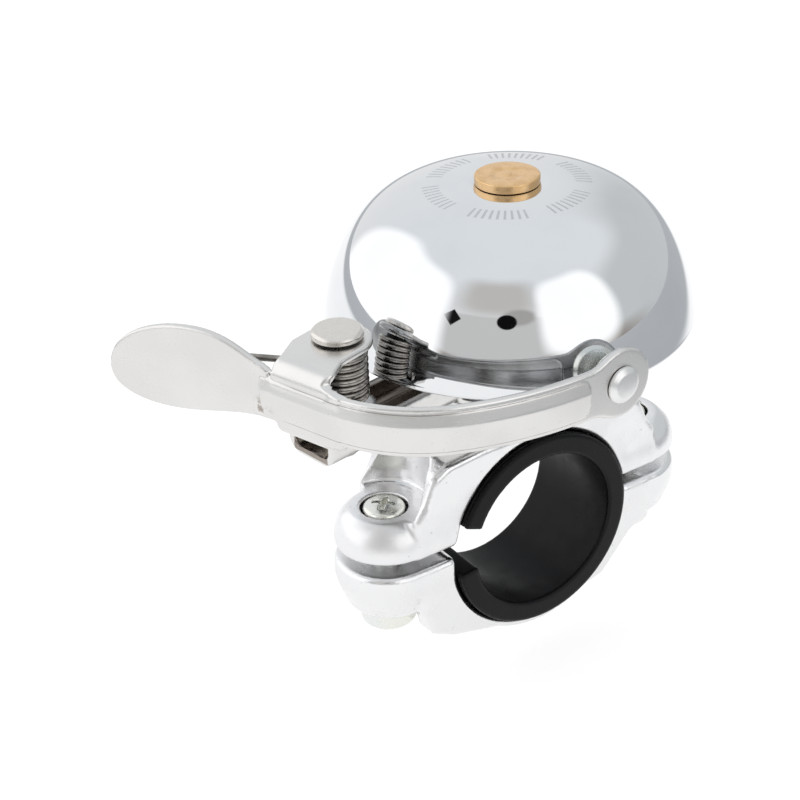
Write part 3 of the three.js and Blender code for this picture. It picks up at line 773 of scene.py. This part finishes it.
def bracket_body(x, y, z):
    bend = FLANGE_BEND - SHEET / 2
    u, v = np.abs(y) - (FLANGE_HALF - FLANGE_BEND), z - (BASE_Z + FLANGE_BEND)
    side = np.hypot(np.minimum(v, 0), u - bend)
    side = np.where(v > 0, np.abs(u - bend), side)
    floor = np.where(u < 0, np.abs(v + bend), np.inf)
    corner = np.where((u >= 0) & (v <= 0), np.abs(np.hypot(u, v) - bend), np.inf)
    channel = np.minimum(np.minimum(side, floor), corner) - SHEET / 2
    channel = both(channel, z - FLANGE_TOP_Z, 0.3)
    channel = both(channel, between(x, 14, PIVOT_REACH + 6), 0.35)
    notch = both(np.abs(x - PIVOT_REACH - 4.4) - 0.7, FLANGE_TOP_Z - 0.9 - z)
    channel = carved(channel, both(notch, -y), 0.3)
    disc = both(np.hypot(x, y) - BASE_DISC_RADIUS, between(z, BASE_Z, BASE_Z + SHEET), 0.25)
    body = merged(channel, disc, 0.6)
    body = carved(body, np.hypot(x, y) - BOLT_HOLE, 0.2)
    return carved(body, np.hypot(x - PIVOT_REACH, y) - PIN_HOLE, 0.2)


bracket = net(
    bracket_body, (-15.6, -15.6, 25.1), (PIVOT_REACH + 6.6, 15.6, FLANGE_TOP_Z + 0.5), CELL)
# The faces inside the channel take the darker brown steel: partly heat stain, partly painted shade
# for the channel's shadowed inside.
bx, by, bz = centres_and_normals(bracket)[0].T
in_channel = (np.abs(by) < FLANGE_HALF - SHEET + 0.15) & (bz > BASE_Z + SHEET / 2) & (bx > 8)
add("bracket_channel", moved(bracket, heading=ARM_HEADING), "base_bracket", STAINLESS,
    BROWN_STAIN_AND_SHADE, in_channel)


def hexagon_nut(x, y, z):
    radius = np.hypot(x, y)
    sides = [x * math.cos(a) + y * math.sin(a) for a in np.radians([30, 90, 150])]
    prism = np.max([np.abs(s) for s in sides], axis=0) - 3.98
    body = both(prism, between(z, nut_low[2], nut_high[2]), 0.15)
    past_end = np.maximum(nut_low[2] - z + 0.3, z - nut_high[2] + 0.3)
    chamfer = radius - 4.25 + 0.6 * past_end
    return carved(both(body, chamfer * 0.85, 0.1), radius - BOLT_HOLE, 0.2)


def plain_ring(name, node, material, inner, edge=0.15):
    low, high = cad(node)
    centre = (low + high) / 2
    shape = ring_turn(inner, (high[0] - low[0]) / 2, low[2], high[2], edge)
    return add(name, moved(shape, centre[0], centre[1]), node, material)


nut_low, nut_high = cad("base_hex_nut")
bolt_low, bolt_high = cad("centre_bolt")
hexagon = net(hexagon_nut, (-5, -5, nut_low[2] - 0.4), (5, 5, nut_high[2] + 0.4), 0.2)
add("hexagon_nut", hexagon, "base_hex_nut", ZINC)
plain_ring("flat_washer", "base_washer", ZINC, BOLT_HOLE)
plain_ring("standoff_tube", "dome_standoff", ZINC, BOLT_HOLE, 0.3)
plain_ring("fibre_ring", "dome_fibre_washer", FIBRE, BOLT_HOLE)
through_bolt = solid_turn([
    (0, bolt_low[2] + 0.5, 0.2), (1.2, bolt_low[2] + 0.5, 0.1), (1.3, bolt_low[2], 0.15),
    (3.9, bolt_low[2], 0.5), (3.9, bolt_low[2] + 2.6, 0.3), (2.5, bolt_low[2] + 2.6, 0.15),
    (2.5, bolt_high[2] - 0.75, 0.2), (1.9, bolt_high[2] - 0.35, 0.3),
    (0.9, bolt_high[2] - 0.35, 0.2), (0.6, bolt_high[2], 0.25), (0, bolt_high[2], 0)])
add("through_bolt", through_bolt, "centre_bolt", BRASS)


# ---- dome and its nut -----------------------------------------------------------------------
SIDE_POWER, RISE_POWER = 4.2, 1.6    # of the superellipse: a round shoulder and a flat crown


def dome_curve(radius, height, steps):
    """One side of a superellipse dome, from just outside the bolt hole down to the rim."""
    points = []
    for i in range(steps + 1):
        t = (i / steps) ** 0.8 * math.pi / 2
        r = radius * math.sin(t) ** (2 / SIDE_POWER)
        z = RIM_Z + height * math.cos(t) ** (2 / RISE_POWER)
        if r > 3.4:
            points.append((r, z))
    return points


def dome_shell():
    height = CROWN_Z - RIM_Z
    outer = dome_curve(DOME_RADIUS, height, 90)
    inner = dome_curve(DOME_RADIUS - DOME_WALL, height - DOME_WALL, 60)
    middle, half = DOME_RADIUS - DOME_WALL / 2, DOME_WALL / 2
    rim = [(middle + half * math.cos(a), RIM_Z + half + half * math.sin(a))
           for a in np.radians(np.arange(0, -181, -18))]
    outer, inner = ([p for p in side if p[1] > RIM_Z + half + 0.05] for side in (outer, inner))
    under = CROWN_Z - DOME_WALL
    hole = [(3.0, under), (BOLT_HOLE, under + 0.2), (BOLT_HOLE, CROWN_Z - 0.2), (3.0, CROWN_Z)]
    loop = hole + outer + rim + inner[::-1]
    return turn(loop[::-1], 160, closed=True)


gong = dome_shell()
gong_centres, gong_normals = centres_and_normals(gong)
gong_outward = (gong_normals[:, :2] * gong_centres[:, :2]).sum(1)
gong_inside = gong_outward / np.linalg.norm(gong_centres[:, :2], axis=1) < -0.3
gong_inside |= (gong_normals[:, 2] < -0.3) & (gong_centres[:, 2] > RIM_Z + DOME_WALL)
add("gong", gong, "dome", CHROME, GREY_STEEL_AND_SHADE, gong_inside)
cap_top = cad("dome_nut")[1][2]
under_z = cad("centre_bolt")[1][2] + 0.05
brass_nut = solid_turn([
    (0, under_z, 0), (BOLT_HOLE, under_z, 0), (BOLT_HOLE, CROWN_Z + 0.02, 0.1),
    (4.65, CROWN_Z + 0.02, 0.1), (4.7, cap_top, 0.25), (2.5, cap_top, 0.5),
    (1.7, cap_top - 0.16, 0.4), (0.7, cap_top - 0.16, 0.2), (0.4, cap_top - 0.06, 0.2),
    (0, cap_top - 0.06, 0)], 128)
add("brass_nut", brass_nut, "dome_nut", BRASS)

# ---- thumb lever ----------------------------------------------------------------------------
# The lever's own frame stands on the pivot, with x along its straight part and y toward the bell.
LEVER_HEADING = math.radians(17)
WALL = -10.25
BAND_MID_Z = 36.6
BAND_HALF = 3.5
STRAIGHT_FROM, STRAIGHT_TO = -5.2, 7.0
CREASE_X = STRAIGHT_FROM + 0.2
BEND_RADIUS, SWEEP_RADIUS = 20.0, 46.0
BEND_END, SWEEP_END = math.radians(50.5), math.radians(76)
EYE_OFFSET, EYE_RADIUS = 4.2, 5.0
PADDLE_TURN = math.radians(-167)
PADDLE_LENGTH = 24.1
TAB_RADIUS = 4.7

bend_centre = np.array([STRAIGHT_TO, WALL + BEND_RADIUS])
bend_out = np.array([math.sin(BEND_END), -math.cos(BEND_END)])
sweep_centre = bend_centre + (BEND_RADIUS - SWEEP_RADIUS) * bend_out
sweep_along = np.array([math.cos(SWEEP_END), math.sin(SWEEP_END)])
sweep_out = np.array([math.sin(SWEEP_END), -math.cos(SWEEP_END)])
band_end = sweep_centre + SWEEP_RADIUS * sweep_out
S_STRAIGHT = STRAIGHT_TO - STRAIGHT_FROM
S_BEND = S_STRAIGHT + BEND_RADIUS * BEND_END
S_SWEEP = S_BEND + SWEEP_RADIUS * (SWEEP_END - BEND_END)
S_EYE = S_SWEEP + EYE_OFFSET
eye_centre = band_end + EYE_OFFSET * sweep_along
paddle_along = np.array([math.cos(PADDLE_TURN), math.sin(PADDLE_TURN)])
paddle_in = np.array([paddle_along[1], -paddle_along[0]])


def unrolled(x, y):
    """Length along the sheet's outer face, and depth inward from it."""
    dx, dy = x - bend_centre[0], y - bend_centre[1]
    ex, ey = x - sweep_centre[0], y - sweep_centre[1]
    fx, fy = x - band_end[0], y - band_end[1]
    gx, gy = x - CREASE_X, y - WALL
    bend_angle, sweep_angle = np.arctan2(dx, -dy), np.arctan2(ex, -ey)
    flat_depth = y - WALL
    paddle_depth = gx * paddle_in[0] + gy * paddle_in[1]
    on_paddle = (paddle_depth > flat_depth) & (x < CREASE_X)
    past_crease = gx * paddle_along[0] + gy * paddle_along[1]
    length = np.where(on_paddle, CREASE_X - STRAIGHT_FROM - past_crease, x - STRAIGHT_FROM)
    depth = -merged(-flat_depth, -paddle_depth, 1.0)
    depth = np.where(x > CREASE_X + 2.4, flat_depth, depth)
    bent = (x > STRAIGHT_TO) & (bend_angle <= BEND_END)
    length = np.where(bent, S_STRAIGHT + BEND_RADIUS * bend_angle, length)
    depth = np.where(bent, BEND_RADIUS - np.hypot(dx, dy), depth)
    swept = (x > STRAIGHT_TO) & (bend_angle > BEND_END)
    length = np.where(swept, S_BEND + SWEEP_RADIUS * (sweep_angle - BEND_END), length)
    depth = np.where(swept, SWEEP_RADIUS - np.hypot(ex, ey), depth)
    ended = swept & (sweep_angle > SWEEP_END)
    length = np.where(ended, S_SWEEP + fx * sweep_along[0] + fy * sweep_along[1], length)
    depth = np.where(ended, -(fx * sweep_out[0] + fy * sweep_out[1]), depth)
    return length, depth


def paddle_outline():
    """The wall and the paddle as one flat outline of [length along the sheet, z]."""
    crease = CREASE_X - STRAIGHT_FROM
    reach = PADDLE_LENGTH
    curves = [bezier((-0.4, 41), (3, 42.2), (5, 44.4), (10, 44.4)),
              bezier((10, 44.4), (17, 44.4), (reach, 41), (reach, 35.9)),
              bezier((reach, 35.9), (reach, 32), (18, 31.2), (14, 31.4)),
              bezier((14, 31.4), (9, 31.6), (5, 33), (-0.4, 33.1))]
    paddle = [(crease - u, z) for u, z in np.concatenate(curves)]
    top, bottom = BAND_MID_Z + BAND_HALF, BAND_MID_Z - BAND_HALF
    neck = filleted([
        (S_EYE, bottom, 0), (S_EYE, top, 0), (S_STRAIGHT + 0.6, top, 1),
        (S_STRAIGHT - 0.8, top - 0.9, 1), (2.4, top - 0.9, 0.6), (1.3, top + 0.2, 0.5)])
    return [tuple(p) for p in neck] + paddle


def tab_plan(left, right):
    """A tab's plan: a neck at the wall and a round end about the pivot."""
    neck = [(left, WALL - 1, 0), (right, WALL - 1, 0), (right, WALL + 0.4, 1),
            (right + 0.8, WALL + 2.0, 1.5), (4.75, -4.6, 3), (4.75, -0.5, 0)]
    end = [(TAB_RADIUS * math.cos(a), TAB_RADIUS * math.sin(a), 0)
           for a in np.radians(np.arange(0, 181, 9))]
    back = [(-TAB_RADIUS, -4.0, 3), (left + 0.2, WALL + 2.2, 2)]
    return outline_field(filleted(neck + end + back))


sheet_outline = outline_field(paddle_outline())
TABS = [(tab_plan(-3.2, 5.5), 42.1, 2.6, 1), (tab_plan(-2.7, 5.4), 30.8, 2.2, -1)]
ROOT_FLARE, ROOT_TOP, ROOT_HEIGHT = 3.2, 1.5, 0.9


def folded_tab(x, y, z, face, bend, side, plan):
    """A tab folded inward from the wall; side is +1 at the top and -1 at the bottom."""
    u, v = y - (WALL + bend), side * (z - face) + bend
    centre = bend - SHEET / 2
    wall = np.hypot(np.maximum(v, 0), u + centre)
    flat = np.hypot(np.minimum(u, 0), v - centre)
    corner = np.where((v > 0) & (u < 0), np.abs(np.hypot(u, v) - centre), np.inf)
    sheet = np.minimum(np.minimum(wall, flat), corner) - SHEET / 2
    sheet = both(sheet, -0.9 - v, 0.2)
    flare = ROOT_FLARE * np.clip((ROOT_TOP - v) / ROOT_HEIGHT, 0, 1) ** 2
    return both(sheet, plan(x - flare * smooth_step(x, 0, 4), y), 0.34)


RIDGE_ABOVE_MIDDLE, RIDGE_RISE = 0.9, 0.55


def rib_lift(length, z):
    """How far the band is pressed out: a ridge along it that slopes back more steeply above."""
    height = z - BAND_MID_Z
    past_end = np.maximum(length - (S_EYE - 7.6), 0)
    end = np.hypot(np.maximum(np.abs(height) - RIDGE_ABOVE_MIDDLE, 0), past_end) - 1.85
    inside = smooth_step(-np.maximum(end, 0.4 - length), -0.12, 0.12)
    above = np.maximum(height - RIDGE_ABOVE_MIDDLE, 0)
    below = np.maximum(RIDGE_ABOVE_MIDDLE - height, 0)
    return inside * (RIDGE_RISE - 0.24 * above - 0.1 * below)


def lever_body(x, y, z):
    length, depth = unrolled(x, y)
    depth = depth + rib_lift(length, z)
    to_eye = np.hypot(length - S_EYE, z - BAND_MID_Z)
    outline = merged(sheet_outline(length, z), to_eye - EYE_RADIUS, 1.4)
    body = both(outline, between(depth, 0, SHEET), 0.34)
    for plan, face, bend, side in TABS:
        body = merged(body, folded_tab(x, y, z, face, bend, side, plan), 0.5)
    body = carved(body, np.hypot(x, y) - PIN_HOLE, 0.15)
    rivet_hole = both(to_eye - PIN_HOLE, np.abs(depth) - 3)
    return carved(body, rivet_hole, 0.15)


lever = net(lever_body, (-30, -17.5, 30), (35.6, 25.6, 45.2), 0.24)
# Painted shade: the lever's inner faces, the underside of its top tab and the top of its bottom tab
# take the darker grey steel.
lever_centres, lever_normals = centres_and_normals(lever)
lx, ly, lz = lever_centres.T
inward = np.stack([unrolled(lx + 0.05, ly)[1] - unrolled(lx - 0.05, ly)[1],
                   unrolled(lx, ly + 0.05)[1] - unrolled(lx, ly - 0.05)[1]], 1) / 0.1
inner_face = (lever_normals[:, :2] * inward).sum(1) > 0.4
inner_face |= (lever_normals[:, 2] < -0.6) & (lz > 40.7)
inner_face |= (lever_normals[:, 2] > 0.6) & (lz < 32.4) & (ly > WALL + 1)
add("thumb_lever", moved(lever, PIVOT[0], PIVOT[1], heading=LEVER_HEADING), "lever", STAINLESS,
    GREY_STEEL_AND_SHADE, inner_face)

# ---- striker, on the lever's eye ------------------------------------------------------------
eye_heading = SWEEP_END + LEVER_HEADING
eye_x = PIVOT[0] + eye_centre[0] * math.cos(LEVER_HEADING) - eye_centre[1] * math.sin(LEVER_HEADING)
eye_y = PIVOT[1] + eye_centre[0] * math.sin(LEVER_HEADING) + eye_centre[1] * math.cos(LEVER_HEADING)
eye_place = np.array([eye_x, eye_y, BAND_MID_Z])
rivet_head = solid_turn([
    (0, -2.2, 0), (1.3, -2.2, 0.2), (1.5, -1.9, 0.1), (1.5, 0.1, 0.05), (2.65, 0.1, 0.15),
    (2.6, 0.5, 0.3), (1.8, 1.0, 0.8), (0, 1.15, 0)])
button = solid_turn([
    (0, -2.95, 0), (3.0, -2.95, 0.7), (3.8, -2.3, 0.5), (3.8, -1.4, 0.2), (0, -1.4, 0)])
add("striker_rivet_head", facing(rivet_head, eye_place, eye_heading), "striker_rivet", RIVET_STEEL)
add("striker_button", facing(button, eye_place, eye_heading), "striker_disc", ZINC)

# ---- pivot and return spring ----------------------------------------------------------------
head_low = pin_high[2] - 1.1
pivot_pin = solid_turn([
    (0, pin_low[2], 0), (1.7, pin_low[2], 0.5), (2.2, BASE_Z - GAP, 0.2),
    (1.5, BASE_Z - GAP, 0.1), (1.5, head_low, 0.1), (3.6, head_low, 0.2),
    (3.6, head_low + 0.7, 0.35), (3.2, pin_high[2], 0.5), (0, pin_high[2] - 0.06, 0)])
add("pivot_pin", moved(pivot_pin, PIVOT[0], PIVOT[1]), "pivot_rivet", NICKEL)
plain_ring("spacer_collar", "pivot_spacer", ZINC, PIN_HOLE)
plain_ring("bush_sleeve", "spring_bush", PLASTIC, PIN_HOLE)

COIL_RADIUS, WIRE_RADIUS, COIL_TURNS = 3.5, 0.49, 7
SPRING_LOW, SPRING_HIGH = 32.82, 40.08


def spring_line():
    """A long leg toward the paddle, the coil, and a short leg that ends in a hook."""
    start = LEVER_HEADING - math.radians(64)
    finish = start + COIL_TURNS * 2 * math.pi

    def on_coil(angle, z):
        return np.array([COIL_RADIUS * math.cos(angle), COIL_RADIUS * math.sin(angle), z])

    leave = np.array([math.sin(start), -math.cos(start), 0])
    line = [on_coil(start, SPRING_HIGH) + leave * a for a in np.linspace(14.2, 0.6, 24)]
    steps = COIL_TURNS * 30
    line += [on_coil(start + (finish - start) * i / steps,
                     SPRING_HIGH + (SPRING_LOW - SPRING_HIGH) * i / steps)
             for i in range(steps + 1)]
    onward = np.array([-math.sin(finish), math.cos(finish), 0])
    line += [on_coil(finish, SPRING_LOW) + onward * a for a in np.linspace(0.6, 2.6, 6)]
    hook = on_coil(finish, SPRING_LOW) + onward * 2.6
    line += [hook + onward * math.sin(a) * 0.9 + np.array([0, 0, 0.9 * (1 - math.cos(a))])
             for a in np.radians(np.arange(15, 121, 15))]
    return line


coil_start, coil_end = [(PIVOT[0] * MM, PIVOT[1] * MM, z * MM)
                        for z in (SPRING_LOW, SPRING_HIGH - WIRE_RADIUS)]
spring = moved(tube(spring_line(), WIRE_RADIUS), PIVOT[0], PIVOT[1])
add("coil_spring", spring, "return_spring", SPRING,
    across=("bell_head", "lever_arm", coil_start, coil_end))


# ---- studio ---------------------------------------------------------------------------------
CAMERA_ANGLES = (57.055, 29.46, -2.452)             # azimuth, elevation and roll, in degrees
CAMERA_PLACE = (183.04, -138.20, 148.81)
SENSOR, FOCAL_PIXELS, PICTURE_PIXELS = 36, 1742.9, 800
FLOOR_HALF = 4.0                    # metres, as are the pool's numbers
FLOOR_DROP = 2.4                    # millimetres below the clamp
POOL_CENTRE, POOL_HALF = (-0.12, -0.02, 0), (0.36, 0.24, 1)


def camera():
    azimuth, elevation, roll = (math.radians(a) for a in CAMERA_ANGLES)
    back = Vector((math.sin(azimuth) * math.cos(elevation),
                   -math.cos(azimuth) * math.cos(elevation), math.sin(elevation)))
    level = Vector((math.cos(azimuth), math.sin(azimuth), 0))
    upright = back.cross(level)
    right = level * math.cos(roll) + upright * math.sin(roll)
    up = upright * math.cos(roll) - level * math.sin(roll)
    data = bpy.data.cameras.new("camera")
    data.sensor_width = SENSOR
    data.lens = SENSOR * FOCAL_PIXELS / PICTURE_PIXELS
    data.clip_start = 0.01
    view = bpy.data.objects.new("camera", data)
    bpy.context.scene.collection.objects.link(view)
    view.matrix_world = Matrix((right, up, back)).transposed().to_4x4()
    view.matrix_world.translation = Vector(CAMERA_PLACE) * MM
    bpy.context.scene.camera = view


def floor():
    """A pale floor that glows, with a painted pool of light that fades to soft grey on the right.
    """
    n = Nodes("pale_floor")
    view = n.new("ShaderNodeMapping", vector_type="TEXTURE")
    n.link(n.place, view.inputs["Vector"])
    view.inputs["Rotation"].default_value = (0, 0, math.radians(147))
    view.inputs["Location"].default_value = POOL_CENTRE
    view.inputs["Scale"].default_value = POOL_HALF
    split = n.new("ShaderNodeSeparateXYZ")
    n.link(view.outputs[0], split.inputs[0])
    across = n.sum(n.sum(split.outputs["X"], 4.0, "POWER"), n.sum(split.outputs["Y"], 4.0, "POWER"))
    pool = n.ramp(across, 0.8, 8.0, 1.0, 0.0)
    rightward = n.sum(n.sum(split.outputs["X"], -0.3, "MULTIPLY"), split.outputs["Y"], "SUBTRACT")
    pool = n.sum(pool, n.ramp(rightward, 0.78, 1.0, 1.0, 0.0), "MULTIPLY")
    color = n.mix(pool, (0.44, 0.45, 0.46), (0.32, 0.32, 0.32))
    n.finish(color, n.ramp(n.noise(40, 2), 0, 1, 0.8, 0.9))
    # Painted light: the floor glows, brightest in the pool, so it reads white and the shadows on it
    # fade.
    n.link(n.mix(pool, (0.08, 0.08, 0.085), (0.78, 0.78, 0.78)), n.shader.inputs["Emission Color"])
    n.shader.inputs["Emission Strength"].default_value = 1.0
    corners = [(x * FLOOR_HALF, y * FLOOR_HALF, 0) for x, y in ((-1, -1), (1, -1), (1, 1), (-1, 1))]
    mesh = bpy.data.meshes.new("floor")
    mesh.from_pydata(corners, [], [(0, 1, 2, 3)])
    mesh.materials.append(n.material)
    ground = bpy.data.objects.new("floor", mesh)
    ground.location.z = (cad("clamp_lower")[0][2] - FLOOR_DROP) * MM
    bpy.context.scene.collection.objects.link(ground)


class Sky(Graph):
    """The studio round the bell, painted by direction: softboxes, grey walls and a dark lens."""

    def __init__(self):
        world = bpy.data.worlds.new("studio")
        bpy.context.scene.world = world
        world.use_nodes = True
        self.tree = world.node_tree
        split = self.new("ShaderNodeSeparateXYZ")
        self.link(self.new("ShaderNodeTexCoord").outputs["Generated"], split.inputs[0])
        self.azimuth = self.math("ARCTAN2", split.outputs["Y"], split.outputs["X"])
        self.elevation = self.math("ARCSINE", split.outputs["Z"])

    def step(self, value, low, high):
        return self.ramp(value, math.radians(low), math.radians(high))

    def panel(self, azimuth, elevation, half_width, half_height, soft, power=4.0):
        """1 inside a panel, fading over soft degrees outside it; power 1 is a diamond, 2 round."""
        turned = self.math("SUBTRACT", self.azimuth, math.radians(azimuth))
        turned = self.math("WRAP", turned, math.pi, -math.pi)
        across = self.math("DIVIDE", turned, math.radians(half_width))
        raised = self.math("SUBTRACT", self.elevation, math.radians(elevation))
        along = self.math("DIVIDE", raised, math.radians(half_height))
        across, along = (self.math("POWER", self.math("ABSOLUTE", part), power)
                         for part in (across, along))
        edge = self.math("POWER", self.math("ADD", across, along), 1 / power)
        scale = math.radians(min(half_width, half_height))
        edge = self.math("MULTIPLY", self.math("SUBTRACT", edge, 1.0), scale)
        return self.math("SUBTRACT", 1.0, self.step(edge, 0, soft))

    def paint(self):
        color = self.mix(self.step(self.elevation, 5, 55), (0.90, 0.91, 0.92), (0.88, 0.91, 0.94))
        color = self.mix(self.panel(80, 0, 44, 34, 16), color, (0.66, 0.68, 0.69))
        color = self.mix(self.panel(-40, -6, 70, 9, 5), color, (0.34, 0.30, 0.27))
        color = self.mix(self.panel(-45, 42, 16, 8, 12), color, (0.62, 0.60, 0.58))
        color = self.mix(self.panel(-46, 14, 36, 12, 2), color, (0.66, 0.66, 0.655))
        color = self.mix(self.panel(-30, 27, 8, 4, 3, 2), color, (0.45, 0.44, 0.43))
        color = self.mix(self.panel(-38, 24, 6, 4.5, 0.8, 2), color, (0.006, 0.006, 0.006))
        color = self.mix(self.panel(-74, 23, 5.5, 5, 0.8, 1), color, (0.01, 0.01, 0.01))
        color = self.mix(self.panel(-126, 15, 42, 34, 8), color, (1.32, 1.32, 1.33))
        color = self.mix(self.panel(10, 26, 22, 22, 9), color, (1.32, 1.32, 1.32))
        self.tree.links.new(color, self.tree.nodes["Background"].inputs["Color"])


camera()
floor()
Sky().paint()
bpy.context.scene.view_settings.view_transform = "Standard"
